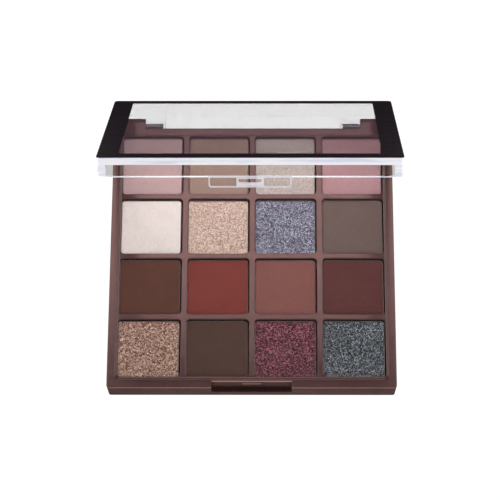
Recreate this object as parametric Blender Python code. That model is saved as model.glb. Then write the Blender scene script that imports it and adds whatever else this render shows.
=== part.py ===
"""Eyeshadow palette: a shallow case, a tray of sixteen pressed pans and a clear lid that stands open.

Metres, +Z up, +X to the user's right, +Y away from the user.
The origin is the centre of the case's flat underside.
"""

import bmesh
import bpy
from math import cos, pi, radians, sin
from mathutils import Matrix, Vector

MM = 0.001

# Pan grid
ROWS = 4
COLUMNS = 4
PITCH = 23.5 * MM
WELL_SIZE = 21.5 * MM
WELL_CORNER = 1.4 * MM

# Pans, their powder and the glue under them
PAN_GAP = 0.35 * MM
PAN_WALL = 0.25 * MM
PAN_HEIGHT = 3.4 * MM
PAN_CORNER = 1.1 * MM
PAN_FOOT_FILLET = 0.4 * MM
PAN_BELOW_TRAY = 0.6 * MM
POWDER_GAP = 0.1 * MM
POWDER_BELOW_PAN = 0.25 * MM
POWDER_EDGE_FILLET = 0.3 * MM
GLUE_RADIUS = 5.0 * MM
GLUE_THICKNESS = 0.3 * MM
GLUE_GAP = 0.1 * MM

# Tray: the plate with the wells, seated inside the case's rim and standing a little above it
TRAY_RISE = 0.8 * MM
TRAY_PLATE = 1.2 * MM
TRAY_BORDER = 0.1 * MM
TRAY_GAP = 0.3 * MM
TRAY_CORNER = 1.2 * MM
TRAY_EDGE_FILLET = 0.45 * MM
POCKET_WALL = 0.65 * MM
POCKET_FLOOR = 0.9 * MM

# Case: one moulded tub with a flat rim, two hinge ears and a latch recess
RIM_SIDE = 2.55 * MM
RIM_END = 2.95 * MM
CASE_CORNER = 1.3 * MM
CASE_DRAFT = 0.5 * MM
CASE_FLOOR = 1.3 * MM
CASE_FOOT_FILLET = 0.7 * MM
CASE_RIM_FILLET = 0.4 * MM
CASE_INNER_FILLET = 0.5 * MM
RIB_HEIGHT = 1.2 * MM
RIB_WIDTH = 1.4 * MM
RIB_GAP = 0.3 * MM

# Hinge
EAR_WIDTH = 10.1 * MM
EAR_INSET = 1.0 * MM
EAR_BELOW_RIM = 0.6 * MM
EAR_ABOVE_FOOT = 0.8 * MM
EAR_ROOT = 1.8 * MM
PIN_RADIUS = 0.75 * MM
PIN_SLACK = 0.08 * MM
PIN_IN_LUG = 6.3 * MM
PIN_IN_EAR = 8.0 * MM
PIN_END_GAP = 0.3 * MM
LUG_GAP = 0.3 * MM
LUG_WIDTH = 6.8 * MM
LUG_EYE_WALL = 1.4 * MM
LUG_WEB = 2.2 * MM
LUG_TO_CASE = 0.2 * MM

# Lid
LID_HEIGHT = 6.7 * MM
LID_PLATE = 1.6 * MM
LID_WALL = 2.2 * MM
LID_CORNER = 1.4 * MM
LID_TOP_FILLET = 0.3 * MM
LID_RIM_FILLET = 0.25 * MM
LID_INNER_FILLET = 0.6 * MM
LID_REST_GAP = 0.1 * MM
LID_OPEN_ANGLE = radians(50.2)

# Printed border on the lid
BORDER_SIDE = 6.9 * MM
BORDER_END = 5.7 * MM
BORDER_THICKNESS = 0.12 * MM
BORDER_GAP = 0.1 * MM
BORDER_WINDOW_CORNER = 0.5 * MM

# Latch: a tab under the lid's front wall with a hook, and a ridge in the case's recess
TAB_WIDTH = 26.8 * MM
TAB_DROP = 3.3 * MM
TAB_THICKNESS = 1.0 * MM
TAB_CORNER = 1.0 * MM
HOOK_WIDTH = 8.8 * MM
HOOK_HEIGHT = 1.0 * MM
HOOK_GAP = 0.25 * MM
RECESS_WALL = 0.55 * MM
RECESS_SIDE_GAP = 0.35 * MM
RECESS_FLOOR_GAP = 0.9 * MM
RECESS_CORNER = 0.8 * MM
CATCH_WIDTH = 6.5 * MM
CATCH_DEPTH = 0.4 * MM
CATCH_HEIGHT = 0.8 * MM
CATCH_ABOVE_HOOK = 0.3 * MM

# Mesh fineness
LARGE_CORNER_STEPS = 6
SMALL_CORNER_STEPS = 3
FILLET_STEPS = 3
ROUND_STEPS = 28
GLUE_STEPS = 12
SMALLEST_CORNER = 0.2 * MM
BITE = 0.5 * MM

# Worked out from the sizes above, from the pans outwards
PAN_SIZE = WELL_SIZE - 2 * PAN_GAP
POWDER_SIZE = PAN_SIZE - 2 * (PAN_WALL + POWDER_GAP)
WELL_DEPTH = PAN_HEIGHT + GLUE_THICKNESS + 2 * GLUE_GAP + PAN_BELOW_TRAY
TRAY_HALF_X = ((COLUMNS - 1) * PITCH + WELL_SIZE) / 2 + POCKET_WALL + TRAY_BORDER
TRAY_HALF_Y = ((ROWS - 1) * PITCH + WELL_SIZE) / 2 + POCKET_WALL + TRAY_BORDER
CASE_HALF_X = TRAY_HALF_X + TRAY_GAP + RIM_SIDE
CASE_HALF_Y = TRAY_HALF_Y + TRAY_GAP + RIM_END
RIB_TOP = CASE_FLOOR + RIB_HEIGHT
POCKET_BOTTOM = RIB_TOP + RIB_GAP
WELL_FLOOR = POCKET_BOTTOM + POCKET_FLOOR
TRAY_TOP = WELL_FLOOR + WELL_DEPTH
RIM_HEIGHT = TRAY_TOP - TRAY_RISE
PAN_BOTTOM = WELL_FLOOR + GLUE_THICKNESS + 2 * GLUE_GAP
EAR_RADIUS = (RIM_HEIGHT - EAR_BELOW_RIM - EAR_ABOVE_FOOT) / 2
EAR_OUTER = CASE_HALF_X - EAR_INSET
EAR_INNER = EAR_OUTER - EAR_WIDTH
PIN_HOLE_RADIUS = PIN_RADIUS + PIN_SLACK
LUG_RADIUS = PIN_HOLE_RADIUS + LUG_EYE_WALL
LUG_OUTER = EAR_INNER - LUG_GAP
LUG_INNER = LUG_OUTER - LUG_WIDTH
HINGE = Vector((0.0, CASE_HALF_Y + LUG_TO_CASE + LUG_RADIUS, EAR_ABOVE_FOOT + EAR_RADIUS))
LID_FRONT = -CASE_HALF_Y
LID_BACK = HINGE.y + EAR_RADIUS
LID_HALF_Y = (LID_BACK - LID_FRONT) / 2
LID_CENTRE = (0.0, (LID_BACK + LID_FRONT) / 2)
LID_RIM = RIM_HEIGHT + LID_REST_GAP
LID_TOP = LID_RIM + LID_HEIGHT
TAB_BOTTOM = LID_RIM - TAB_DROP
RECESS_FLOOR = TAB_BOTTOM - RECESS_FLOOR_GAP
RECESS_BACK = LID_FRONT + RIM_END - RECESS_WALL
HOOK_TIP = RECESS_BACK - CATCH_DEPTH - HOOK_GAP

# Powder shades from the back row to the front row, left to right, as sRGB
SHADES = (
    ((188, 156, 154), (162, 133, 124), (194, 175, 170), (180, 138, 141)),
    ((226, 210, 205), (200, 168, 150), (127, 120, 135), (111, 91, 87)),
    ((90, 60, 52), (122, 60, 56), (128, 83, 78), (89, 55, 54)),
    ((145, 115, 100), (81, 61, 55), (97, 58, 66), (77, 79, 81)),
)


# ---------------------------------------------------------------- materials

def linear(srgb):
    """An sRGB colour of 0 to 255 as the linear colour that a shader takes."""
    channels = []
    for value in srgb:
        share = value / 255
        channels.append(share / 12.92 if share <= 0.04045 else ((share + 0.055) / 1.055) ** 2.4)
    return (*channels, 1.0)


def material(name, srgb, roughness, metallic=0.0, transmission=0.0):
    made = bpy.data.materials.new(name)
    made.use_nodes = True
    shader = made.node_tree.nodes["Principled BSDF"]
    shader.inputs["Base Color"].default_value = linear(srgb)
    shader.inputs["Roughness"].default_value = roughness
    shader.inputs["Metallic"].default_value = metallic
    shader.inputs["Transmission Weight"].default_value = transmission
    made.diffuse_color = linear(srgb)
    return made


# ---------------------------------------------------------------- mesh building

def add_object(name, mesh_data, coat=None):
    """A new object from a bmesh, with its faces turned outwards."""
    bmesh.ops.recalc_face_normals(mesh_data, faces=mesh_data.faces)
    mesh = bpy.data.meshes.new(name)
    mesh_data.to_mesh(mesh)
    mesh_data.free()
    mesh.shade_smooth()
    mesh.set_sharp_from_angle(angle=radians(35))
    made = bpy.data.objects.new(name, mesh)
    bpy.context.scene.collection.objects.link(made)
    if coat is not None:
        mesh.materials.append(coat)
    return made


def rounded_outline(half_x, half_y, corner, centre, steps):
    """A rectangle with round corners, anticlockwise."""
    turns = ((1, 1), (-1, 1), (-1, -1), (1, -1))
    outline = []
    for quarter, (side_x, side_y) in enumerate(turns):
        for step in range(steps + 1):
            angle = (quarter + step / steps) * pi / 2
            x = centre[0] + side_x * (half_x - corner) + corner * cos(angle)
            y = centre[1] + side_y * (half_y - corner) + corner * sin(angle)
            outline.append((x, y))
    return outline


def fillet(centre_inset, centre_z, radius, start, end):
    """A rounded edge in a wall's profile, as (inset, height) points."""
    points = []
    for step in range(FILLET_STEPS + 1):
        angle = radians(start + (end - start) * step / FILLET_STEPS)
        points.append((centre_inset + radius * cos(angle), centre_z + radius * sin(angle)))
    return points


def rings(half_x, half_y, corner, profile, centre=(0.0, 0.0), steps=LARGE_CORNER_STEPS):
    """The profile carried round a rounded rectangle: one ring of points for each profile point."""
    made = []
    for inset, z in profile:
        ring_corner = max(corner - inset, SMALLEST_CORNER)
        outline = rounded_outline(half_x - inset, half_y - inset, ring_corner, centre, steps)
        made.append([(x, y, z) for x, y in outline])
    return made


def add_rings(mesh_data, ring_list, closed=False):
    """Skin between the rings, with a cap at each end, or a closed loop of rings."""
    loops = []
    for ring in ring_list:
        loops.append([mesh_data.verts.new(point) for point in ring])
    pairs = list(zip(loops, loops[1:]))
    if closed:
        pairs.append((loops[-1], loops[0]))
    for lower, upper in pairs:
        count = len(lower)
        for index in range(count):
            follower = (index + 1) % count
            mesh_data.faces.new((lower[index], lower[follower], upper[follower], upper[index]))
    if not closed:
        mesh_data.faces.new(reversed(loops[0]))
        mesh_data.faces.new(loops[-1])


def turned(name, ring_list, coat=None, closed=False):
    mesh_data = bmesh.new()
    add_rings(mesh_data, ring_list, closed)
    return add_object(name, mesh_data, coat)


def prism(name, outline, span, axis, coat=None, offsets=((0.0, 0.0, 0.0),)):
    """An outline pushed along an axis: (y, z) points along x, (x, z) points along y."""
    def place(point, depth):
        if axis == "x":
            return (depth, point[0], point[1])
        if axis == "y":
            return (point[0], depth, point[1])
        return (point[0], point[1], depth)
    mesh_data = bmesh.new()
    for offset in offsets:
        ends = []
        for depth in span:
            shifted = [Vector(place(point, depth)) + Vector(offset) for point in outline]
            ends.append([tuple(point) for point in shifted])
        add_rings(mesh_data, ends)
    return add_object(name, mesh_data, coat)


def box_outline(low, high):
    return [(low[0], low[1]), (high[0], low[1]), (high[0], high[1]), (low[0], high[1])]


def tongue_outline(half, low, high, corner):
    """A tongue seen from the front: square above, with its two lower corners rounded."""
    points = []
    for side, start in ((-1, 180), (1, 270)):
        for step in range(SMALL_CORNER_STEPS + 1):
            angle = radians(start + 90 * step / SMALL_CORNER_STEPS)
            points.append((side * (half - corner) + corner * cos(angle), low + corner + corner * sin(angle)))
    return points + [(half, high), (-half, high)]


def circle(centre, radius, steps=ROUND_STEPS):
    points = []
    for step in range(steps):
        angle = 2 * pi * step / steps
        points.append((centre[0] + radius * cos(angle), centre[1] + radius * sin(angle)))
    return points


def combine(target, helper, operation):
    """A Boolean that stays on the target, with its operand kept as a hidden guide."""
    helper.hide_render = True
    helper.display_type = "WIRE"
    boolean = target.modifiers.new(helper.name, "BOOLEAN")
    boolean.operation = operation
    boolean.object = helper
    boolean.solver = "EXACT"


def both_sides(name, outline, inner, outer):
    """One helper holding a prism along x on the right and its mirror image on the left."""
    mesh_data = bmesh.new()
    for span in ((inner, outer), (-outer, -inner)):
        add_rings(mesh_data, [[(x, y, z) for y, z in outline] for x in span])
    return add_object(name, mesh_data)


def well_centres():
    """(row, column, x, y) of each well, from the back row to the front row, left to right."""
    for row in range(ROWS):
        for column in range(COLUMNS):
            x = (column - (COLUMNS - 1) / 2) * PITCH
            y = ((ROWS - 1) / 2 - row) * PITCH
            yield row, column, x, y


# ---------------------------------------------------------------- case

def case_profile():
    """Outer wall of the tub from its underside to its rim."""
    foot = fillet(CASE_DRAFT + CASE_FOOT_FILLET, CASE_FOOT_FILLET, CASE_FOOT_FILLET, 270, 180)
    rim = fillet(CASE_RIM_FILLET, RIM_HEIGHT - CASE_RIM_FILLET, CASE_RIM_FILLET, 180, 90)
    return foot + rim


def cavity_profile():
    """Inner wall of the tub from its rim down to its floor."""
    floor = fillet(CASE_INNER_FILLET, CASE_FLOOR + CASE_INNER_FILLET, CASE_INNER_FILLET, 180, 270)
    return [(0.0, RIM_HEIGHT)] + floor


def ear_outline():
    """Side view of a hinge ear: a block off the back wall with a round end on the hinge axis."""
    points = [(CASE_HALF_Y - EAR_ROOT, HINGE.z - EAR_RADIUS)]
    for step in range(ROUND_STEPS // 2 + 1):
        angle = -pi / 2 + pi * step / (ROUND_STEPS // 2)
        points.append((HINGE.y + EAR_RADIUS * cos(angle), HINGE.z + EAR_RADIUS * sin(angle)))
    points.append((CASE_HALF_Y - EAR_ROOT, HINGE.z + EAR_RADIUS))
    return points


def add_ribs(case):
    """Ribs on the floor, under the webs between the wells, that carry the tray."""
    reach_x = TRAY_HALF_X - CASE_INNER_FILLET
    reach_y = TRAY_HALF_Y - CASE_INNER_FILLET
    upright = box_outline((-RIB_WIDTH / 2, CASE_FLOOR - BITE), (RIB_WIDTH / 2, RIB_TOP))
    across = [((column - COLUMNS / 2) * PITCH, 0.0, 0.0) for column in range(1, COLUMNS)]
    along = [(0.0, (row - ROWS / 2) * PITCH, 0.0) for row in range(1, ROWS)]
    combine(case, prism("rib_guide_long", upright, (-reach_y, reach_y), "y", offsets=across), "UNION")
    combine(case, prism("rib_guide_cross", upright, (-reach_x, reach_x), "x", offsets=along), "UNION")


def catch_outline():
    """Side view of the ridge on the recess's back wall that the hook passes."""
    low = TAB_BOTTOM + HOOK_HEIGHT + CATCH_ABOVE_HOOK
    face = RECESS_BACK - CATCH_DEPTH
    root = RECESS_BACK + BITE / 2
    bevel = CATCH_HEIGHT / 4
    return [
        (root, low), (RECESS_BACK, low), (face, low + bevel), (face, low + CATCH_HEIGHT - 2 * bevel),
        (RECESS_BACK, low + CATCH_HEIGHT), (root, low + CATCH_HEIGHT),
    ]


def make_case(coat):
    outer = rings(CASE_HALF_X, CASE_HALF_Y, CASE_CORNER, case_profile())
    cavity_x = TRAY_HALF_X + TRAY_GAP
    cavity_y = TRAY_HALF_Y + TRAY_GAP
    inner = rings(cavity_x, cavity_y, TRAY_CORNER + TRAY_GAP, cavity_profile())
    case = turned("case", outer + inner, coat)
    add_ribs(case)
    combine(case, both_sides("ear_guide", ear_outline(), EAR_INNER, EAR_OUTER), "UNION")
    recess_half = TAB_WIDTH / 2 + RECESS_SIDE_GAP
    recess_front = tongue_outline(recess_half, RECESS_FLOOR, TRAY_TOP, RECESS_CORNER)
    recess = prism("recess_guide", recess_front, (LID_FRONT - RIM_END, RECESS_BACK), "y")
    combine(case, recess, "DIFFERENCE")
    catch = prism("catch_guide", catch_outline(), (-CATCH_WIDTH / 2, CATCH_WIDTH / 2), "x")
    combine(case, catch, "UNION")
    hole = circle((HINGE.y, HINGE.z), PIN_HOLE_RADIUS)
    holes = both_sides("ear_hole_guide", hole, EAR_INNER - BITE, EAR_INNER + PIN_IN_EAR + PIN_END_GAP)
    combine(case, holes, "DIFFERENCE")
    return case


def make_pins(coat):
    """Two steel pins, pressed into the ears, that the lid's lugs turn on."""
    profile = circle((0.0, 0.0), PIN_RADIUS)
    for name, side in (("hinge_pin_left", -1), ("hinge_pin_right", 1)):
        ends = (side * (EAR_INNER - PIN_IN_LUG), side * (EAR_INNER + PIN_IN_EAR))
        pin = prism(name, profile, (min(ends), max(ends)), "x", coat)
        pin.location = HINGE


# ---------------------------------------------------------------- tray, pans, powder

def make_tray(coat):
    """The plate with sixteen wells hanging from it."""
    edge = fillet(TRAY_EDGE_FILLET, TRAY_TOP - TRAY_EDGE_FILLET, TRAY_EDGE_FILLET, 180, 90)
    plate = [(0.0, TRAY_TOP - TRAY_PLATE)] + edge
    tray = turned("pan_tray", rings(TRAY_HALF_X, TRAY_HALF_Y, TRAY_CORNER, plate), coat)
    pocket_half = WELL_SIZE / 2 + POCKET_WALL
    pocket_corner = WELL_CORNER + POCKET_WALL
    well_half = WELL_SIZE / 2
    pocket = [(0.0, POCKET_BOTTOM), (0.0, TRAY_TOP - TRAY_PLATE / 2)]
    well = [(0.0, WELL_FLOOR), (0.0, TRAY_TOP + BITE)]
    pockets = bmesh.new()
    wells = bmesh.new()
    for _, _, x, y in well_centres():
        add_rings(pockets, rings(pocket_half, pocket_half, pocket_corner, pocket, (x, y), SMALL_CORNER_STEPS))
        add_rings(wells, rings(well_half, well_half, WELL_CORNER, well, (x, y), SMALL_CORNER_STEPS))
    combine(tray, add_object("pocket_guide", pockets), "UNION")
    combine(tray, add_object("well_guide", wells), "DIFFERENCE")
    return tray


def pan_pattern(coat):
    """A drawn metal pan, its floor at z = 0."""
    foot = fillet(PAN_FOOT_FILLET, PAN_FOOT_FILLET, PAN_FOOT_FILLET, 270, 180)
    walls = [(0.0, PAN_HEIGHT), (PAN_WALL, PAN_HEIGHT), (PAN_WALL, PAN_WALL)]
    half = PAN_SIZE / 2
    return turned("pan_pattern", rings(half, half, PAN_CORNER, foot + walls, steps=SMALL_CORNER_STEPS), coat)


def powder_rings():
    """A pressed cake, its underside at z = 0, with a softened top edge."""
    height = PAN_HEIGHT - PAN_WALL - POWDER_GAP - POWDER_BELOW_PAN
    edge = fillet(POWDER_EDGE_FILLET, height - POWDER_EDGE_FILLET, POWDER_EDGE_FILLET, 180, 90)
    half = POWDER_SIZE / 2
    return rings(half, half, PAN_CORNER - PAN_WALL, [(0.0, 0.0)] + edge, steps=SMALL_CORNER_STEPS)


def make_pans(metal, glue_coat):
    """Pan, powder and glue for every well."""
    pattern = pan_pattern(metal)
    glue_outline = circle((0.0, 0.0), GLUE_RADIUS, GLUE_STEPS)
    for row, column, x, y in well_centres():
        place = f"row{row + 1}_col{column + 1}"
        pan = pattern.copy()
        pan.name = f"pan_{place}"
        pan.location = (x, y, PAN_BOTTOM)
        bpy.context.scene.collection.objects.link(pan)
        shade = material(f"powder_{place}", SHADES[row][column], 0.85)
        powder = turned(f"powder_{place}", powder_rings(), shade)
        powder.location = (x, y, PAN_BOTTOM + PAN_WALL + POWDER_GAP)
        glue = prism(f"glue_{place}", glue_outline, (0.0, GLUE_THICKNESS), "z", glue_coat)
        glue.location = (x, y, WELL_FLOOR + GLUE_GAP)
    bpy.data.objects.remove(pattern)


# ---------------------------------------------------------------- lid

def on_hinge(made):
    """Put the object's origin on the hinge axis and swing it open."""
    made.data.transform(Matrix.Translation(-HINGE))
    made.location = HINGE
    made.rotation_euler.x = -LID_OPEN_ANGLE


def lug_outline():
    """Side view of a lid lug, closed: a round eye on the hinge axis and a web up to the back wall."""
    points = []
    for step in range(ROUND_STEPS * 3 // 4 + 1):
        angle = pi / 2 + 2 * pi * step / ROUND_STEPS
        points.append((HINGE.y + LUG_RADIUS * cos(angle), HINGE.z + LUG_RADIUS * sin(angle)))
    points.append((LID_BACK - LID_TOP_FILLET, LID_RIM - LUG_WEB / 2))
    points.append((LID_BACK - LID_TOP_FILLET, LID_RIM + LUG_WEB))
    points.append((LID_BACK - LUG_WEB, LID_RIM + LUG_WEB))
    return points


def hook_outline():
    """Side view of the hook on the tab's inner face: flat above, sloping below."""
    root = LID_FRONT + TAB_THICKNESS
    return [
        (root - BITE, TAB_BOTTOM + HOOK_HEIGHT / 4), (root, TAB_BOTTOM + HOOK_HEIGHT / 4),
        (HOOK_TIP, TAB_BOTTOM + HOOK_HEIGHT * 3 / 4), (HOOK_TIP, TAB_BOTTOM + HOOK_HEIGHT),
        (root - BITE, TAB_BOTTOM + HOOK_HEIGHT),
    ]


def lid_rings():
    """The lid closed, from its top face over the walls to the underside of its plate."""
    top = fillet(LID_TOP_FILLET, LID_TOP - LID_TOP_FILLET, LID_TOP_FILLET, 90, 180)
    rim = fillet(LID_RIM_FILLET, LID_RIM + LID_RIM_FILLET, LID_RIM_FILLET, 180, 270)
    inner_edge = fillet(LID_WALL - LID_RIM_FILLET, LID_RIM + LID_RIM_FILLET, LID_RIM_FILLET, 270, 360)
    ceiling = LID_TOP - LID_PLATE
    inner = fillet(LID_WALL + LID_INNER_FILLET, ceiling - LID_INNER_FILLET, LID_INNER_FILLET, 180, 90)
    profile = top + rim + inner_edge + inner
    return rings(CASE_HALF_X, LID_HALF_Y, LID_CORNER, profile, LID_CENTRE)


def make_lid(coat):
    lid = turned("lid", lid_rings(), coat)
    on_hinge(lid)
    lugs = both_sides("lug_guide", lug_outline(), LUG_INNER, LUG_OUTER)
    tab_span = (LID_FRONT, LID_FRONT + TAB_THICKNESS)
    tab_front = tongue_outline(TAB_WIDTH / 2, TAB_BOTTOM, LID_RIM + 2 * TAB_THICKNESS, TAB_CORNER)
    tab = prism("tab_guide", tab_front, tab_span, "y")
    hook = prism("hook_guide", hook_outline(), (-HOOK_WIDTH / 2, HOOK_WIDTH / 2), "x")
    hole = circle((HINGE.y, HINGE.z), PIN_HOLE_RADIUS)
    hole_inner = EAR_INNER - PIN_IN_LUG - PIN_END_GAP
    holes = both_sides("lug_hole_guide", hole, hole_inner, EAR_INNER + BITE)
    for helper, operation in ((lugs, "UNION"), (tab, "UNION"), (hook, "UNION"), (holes, "DIFFERENCE")):
        on_hinge(helper)
        combine(lid, helper, operation)
    return lid


def make_border(coat):
    """The opaque printed frame round the lid's window."""
    low = LID_TOP + BORDER_GAP
    high = low + BORDER_THICKNESS
    rising = [(LID_TOP_FILLET, low), (LID_TOP_FILLET, high)]
    outer = rings(CASE_HALF_X, LID_HALF_Y, LID_CORNER, rising, LID_CENTRE)
    window_x = CASE_HALF_X - BORDER_SIDE
    window_y = LID_HALF_Y - BORDER_END
    falling = [(0.0, high), (0.0, low)]
    window = rings(window_x, window_y, BORDER_WINDOW_CORNER, falling, LID_CENTRE)
    border = turned("lid_border", outer + window, coat, closed=True)
    on_hinge(border)
    return border


# ---------------------------------------------------------------- palette

def clear_scene():
    for existing in list(bpy.data.objects):
        bpy.data.objects.remove(existing)


def make_palette():
    brown = material("brown_plastic", (108, 80, 77), 0.35)
    make_case(brown)
    make_tray(material("tray_plastic", (112, 84, 81), 0.35))
    make_pins(material("pin_steel", (150, 150, 152), 0.25, metallic=1.0))
    make_pans(material("pan_tin", (196, 192, 190), 0.3, metallic=1.0), material("glue", (214, 206, 190), 0.5))
    make_lid(material("clear_plastic", (235, 236, 240), 0.05, transmission=1.0))
    make_border(material("border_print", (34, 30, 33), 0.4))


clear_scene()
make_palette()
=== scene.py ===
"""Looks of the eyeshadow palette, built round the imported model.

Metres, +Z up, +X to the user's right, +Y away from the user.
The lid's pieces are modelled shut and then swung open about the hinge.
"""

import random
from collections import namedtuple
from math import cos, pi, radians, sin

import bmesh
import bpy
from mathutils import Matrix, Vector, noise


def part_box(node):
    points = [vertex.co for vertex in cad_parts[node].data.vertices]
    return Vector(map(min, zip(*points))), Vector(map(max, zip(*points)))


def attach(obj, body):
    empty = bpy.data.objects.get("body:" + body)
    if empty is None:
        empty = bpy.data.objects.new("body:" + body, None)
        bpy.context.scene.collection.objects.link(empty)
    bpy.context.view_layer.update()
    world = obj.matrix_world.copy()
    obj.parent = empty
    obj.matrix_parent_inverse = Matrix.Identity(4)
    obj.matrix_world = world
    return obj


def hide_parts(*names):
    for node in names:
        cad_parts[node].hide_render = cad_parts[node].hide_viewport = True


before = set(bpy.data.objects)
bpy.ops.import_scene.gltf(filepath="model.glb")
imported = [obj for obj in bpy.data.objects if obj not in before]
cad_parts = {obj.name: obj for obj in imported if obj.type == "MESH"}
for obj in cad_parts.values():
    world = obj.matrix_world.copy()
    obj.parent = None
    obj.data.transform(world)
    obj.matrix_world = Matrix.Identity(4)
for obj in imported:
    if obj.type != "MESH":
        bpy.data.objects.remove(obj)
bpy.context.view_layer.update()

MM = 0.001
ROWS = 4
COLUMNS = 4


# ---------------------------------------------------------------- sizes taken from the frame

def centre_of(node):
    low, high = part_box(node)
    return (Vector(low) + Vector(high)) / 2


def size_of(node):
    low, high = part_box(node)
    return Vector(high) - Vector(low)


CASE_LOW = Vector(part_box("case")[0])
TRAY_HIGH = Vector(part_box("pan_tray")[1])
CASE_HALF_X = -CASE_LOW.x
CASE_HALF_Y = -CASE_LOW.y
TRAY_TOP = TRAY_HIGH.z
TRAY_HALF = TRAY_HIGH.x
HINGE = Vector((0.0, centre_of("hinge_pin_left").y, centre_of("hinge_pin_left").z))
PIN_RADIUS = size_of("hinge_pin_left").z / 2
PITCH = centre_of("pan_row1_col2").x - centre_of("pan_row1_col1").x
PAN_SIZE = size_of("pan_row1_col1").x
PAN_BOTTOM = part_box("pan_row1_col1")[0][2]
PAN_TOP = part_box("pan_row1_col1")[1][2]
POWDER_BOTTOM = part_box("powder_row1_col1")[0][2]

# Case and tray
RIM_HEIGHT = TRAY_TOP - 0.8 * MM
CASE_CORNER = 1.3 * MM
CASE_DRAFT = 0.5 * MM
CASE_FLOOR = 1.3 * MM
FOOT_RADIUS = 0.45 * MM
RIM_RADIUS = 0.35 * MM
INNER_RADIUS = 0.5 * MM
EDGE_RADIUS = 0.16 * MM
TRAY_GAP = 0.3 * MM
TRAY_EDGE = TRAY_HALF + 0.29 * MM
TRAY_CORNER = 1.4 * MM
TRAY_SKIRT = 6.9 * MM
SHOULDER = 0.5 * MM
COVE = 0.85 * MM
COVE_STEPS = 12
RIB_WIDTH = 1.4 * MM
RIB_TOP = 2.5 * MM
WELL_SIZE = 21.5 * MM
WELL_CORNER = 1.4 * MM
WELL_EDGE = 0.3 * MM
POCKET_WALL = 0.65 * MM
POCKET_FLOOR = 0.9 * MM
WELL_FLOOR = 3.7 * MM

# Pans, which sit a little towards the front left of their wells
PAN_WALL = 0.11 * MM
PAN_FOOT = 0.4 * MM
PAN_CORNER = 1.1 * MM
PAN_HALF = PAN_SIZE / 2 + 0.1 * MM
PAN_SHIFT = Vector((-0.2, -0.17)) * MM
PAN_LOOSE = 0.04 * MM

# Powder cakes
CAKE_GAP = 0.02 * MM
POWDER_HALF = PAN_HALF - PAN_WALL - CAKE_GAP
POWDER_CORNER = 0.9 * MM
POWDER_EDGE = 0.22 * MM
POWDER_DROP = 0.14 * MM
POWDER_DISH = 0.3 * MM
SWELL = 0.03 * MM
SWELL_SIZE = 5.0 * MM
CHIP_SIZE = 0.9 * MM
CHIP_DEPTH = 0.8

# How rough a cake is: height and size of its grain, depth of its chips, distance between mesh points
Surface = namedtuple("Surface", "grain grain_size crumble spacing")
FINE = Surface(0.01 * MM, 0.8 * MM, 0.08 * MM, 0.5 * MM)
COARSE = Surface(0.05 * MM, 0.6 * MM, 0.22 * MM, 0.3 * MM)

# Hinge
EAR_OUTER = CASE_HALF_X - 1.0 * MM
EAR_INNER = EAR_OUTER - 10.1 * MM
EAR_RADIUS = 3.0 * MM
EAR_ROOT = 1.8 * MM
PIN_ROUND = 0.25 * MM
PIN_ROUND_STEPS = 4
HOLE_RADIUS = PIN_RADIUS + 0.08 * MM
HOLE_DEPTH = 8.3 * MM
LUG_OUTER = EAR_INNER - 0.3 * MM
LUG_INNER = LUG_OUTER - 6.8 * MM
LUG_RADIUS = HOLE_RADIUS + 1.4 * MM
LUG_WEB = 2.2 * MM
LUG_HOLE_DEPTH = 6.6 * MM

# Lid, measured shut
LID_OPEN_ANGLE = radians(50.2)
LID_FRONT = -CASE_HALF_Y
LID_BACK = HINGE.y + EAR_RADIUS
LID_HALF_Y = (LID_BACK - LID_FRONT) / 2
LID_CENTRE = (0.0, (LID_BACK + LID_FRONT) / 2)
LID_RIM = RIM_HEIGHT + 0.1 * MM
LID_TOP = LID_RIM + 6.7 * MM
LID_PLATE = 1.6 * MM
LID_WALL = 2.2 * MM
LID_CORNER = 1.4 * MM
LID_EDGE_RADIUS = 0.35 * MM
LID_INNER_RADIUS = 0.6 * MM
BORDER_SIDE = 6.9 * MM
BORDER_END = 5.7 * MM
BORDER_LIFT = 0.02 * MM
BORDER_THICKNESS = 0.06 * MM
WINDOW_CORNER = 0.5 * MM
# Where the lid's painted glow lies, and the face index that the painted glow and highlight coats take
PAINTED_GLOW_BAND = 2.6 * MM
PAINTED_GLOW_INNER = CASE_HALF_X - LID_WALL - 0.9 * MM
PAINTED_LIGHT_INDEX = 1
BACK_INDEX = 2

# Latch
TAB_HALF = 13.4 * MM
TAB_BOTTOM = LID_RIM - 3.3 * MM
TAB_THICKNESS = 1.0 * MM
TAB_CORNER = 1.0 * MM
# The tab's painted glow outline: its width and top
TAB_LINE = 0.5 * MM
TAB_LINE_TOP = LID_RIM - 0.1 * MM
HOOK_HALF = 4.4 * MM
HOOK_TIP = -48.25 * MM
HOOK_HEIGHT = 1.0 * MM
HOOK_ROUND = 0.7
HOOK_STEPS = 8
# The painted glow block round the hook, its slot, and how far the glow plates stand off the lid
BLOCK_TOP = LID_RIM - 0.15 * MM
BLOCK_CORNER = 0.1 * MM
SLOT_HALF = HOOK_HALF - 0.7 * MM
SLOT_LOW = LID_RIM - 1.55 * MM
SLOT_HIGH = LID_RIM - 0.5 * MM
SLOT_CORNER = 0.45 * MM
LINE_LIFT = 0.03 * MM
RECESS_HALF = TAB_HALF + 0.35 * MM
RECESS_BACK = -47.6 * MM
RECESS_FLOOR = TAB_BOTTOM - 0.9 * MM
RECESS_CORNER = 0.8 * MM
LIP_DEPTH = 0.6 * MM
EDGE_CUT = 0.3 * MM
CATCH_HALF = 3.25 * MM
CATCH_LOW = 5.5 * MM
CATCH_HEIGHT = 0.8 * MM
CATCH_DEPTH = 0.4 * MM

# Mesh fineness
CORNER_STEPS = 10
FILLET_STEPS = 5
ROUND_STEPS = 64
TONGUE_STEPS = 8
SMALLEST_CORNER = 0.12 * MM
BITE = 0.5 * MM
SLACK = 0.1 * MM
SHARP_ANGLE = radians(40)
BEVEL_ANGLE = radians(50)
BEVEL_SEGMENTS = 3

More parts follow.
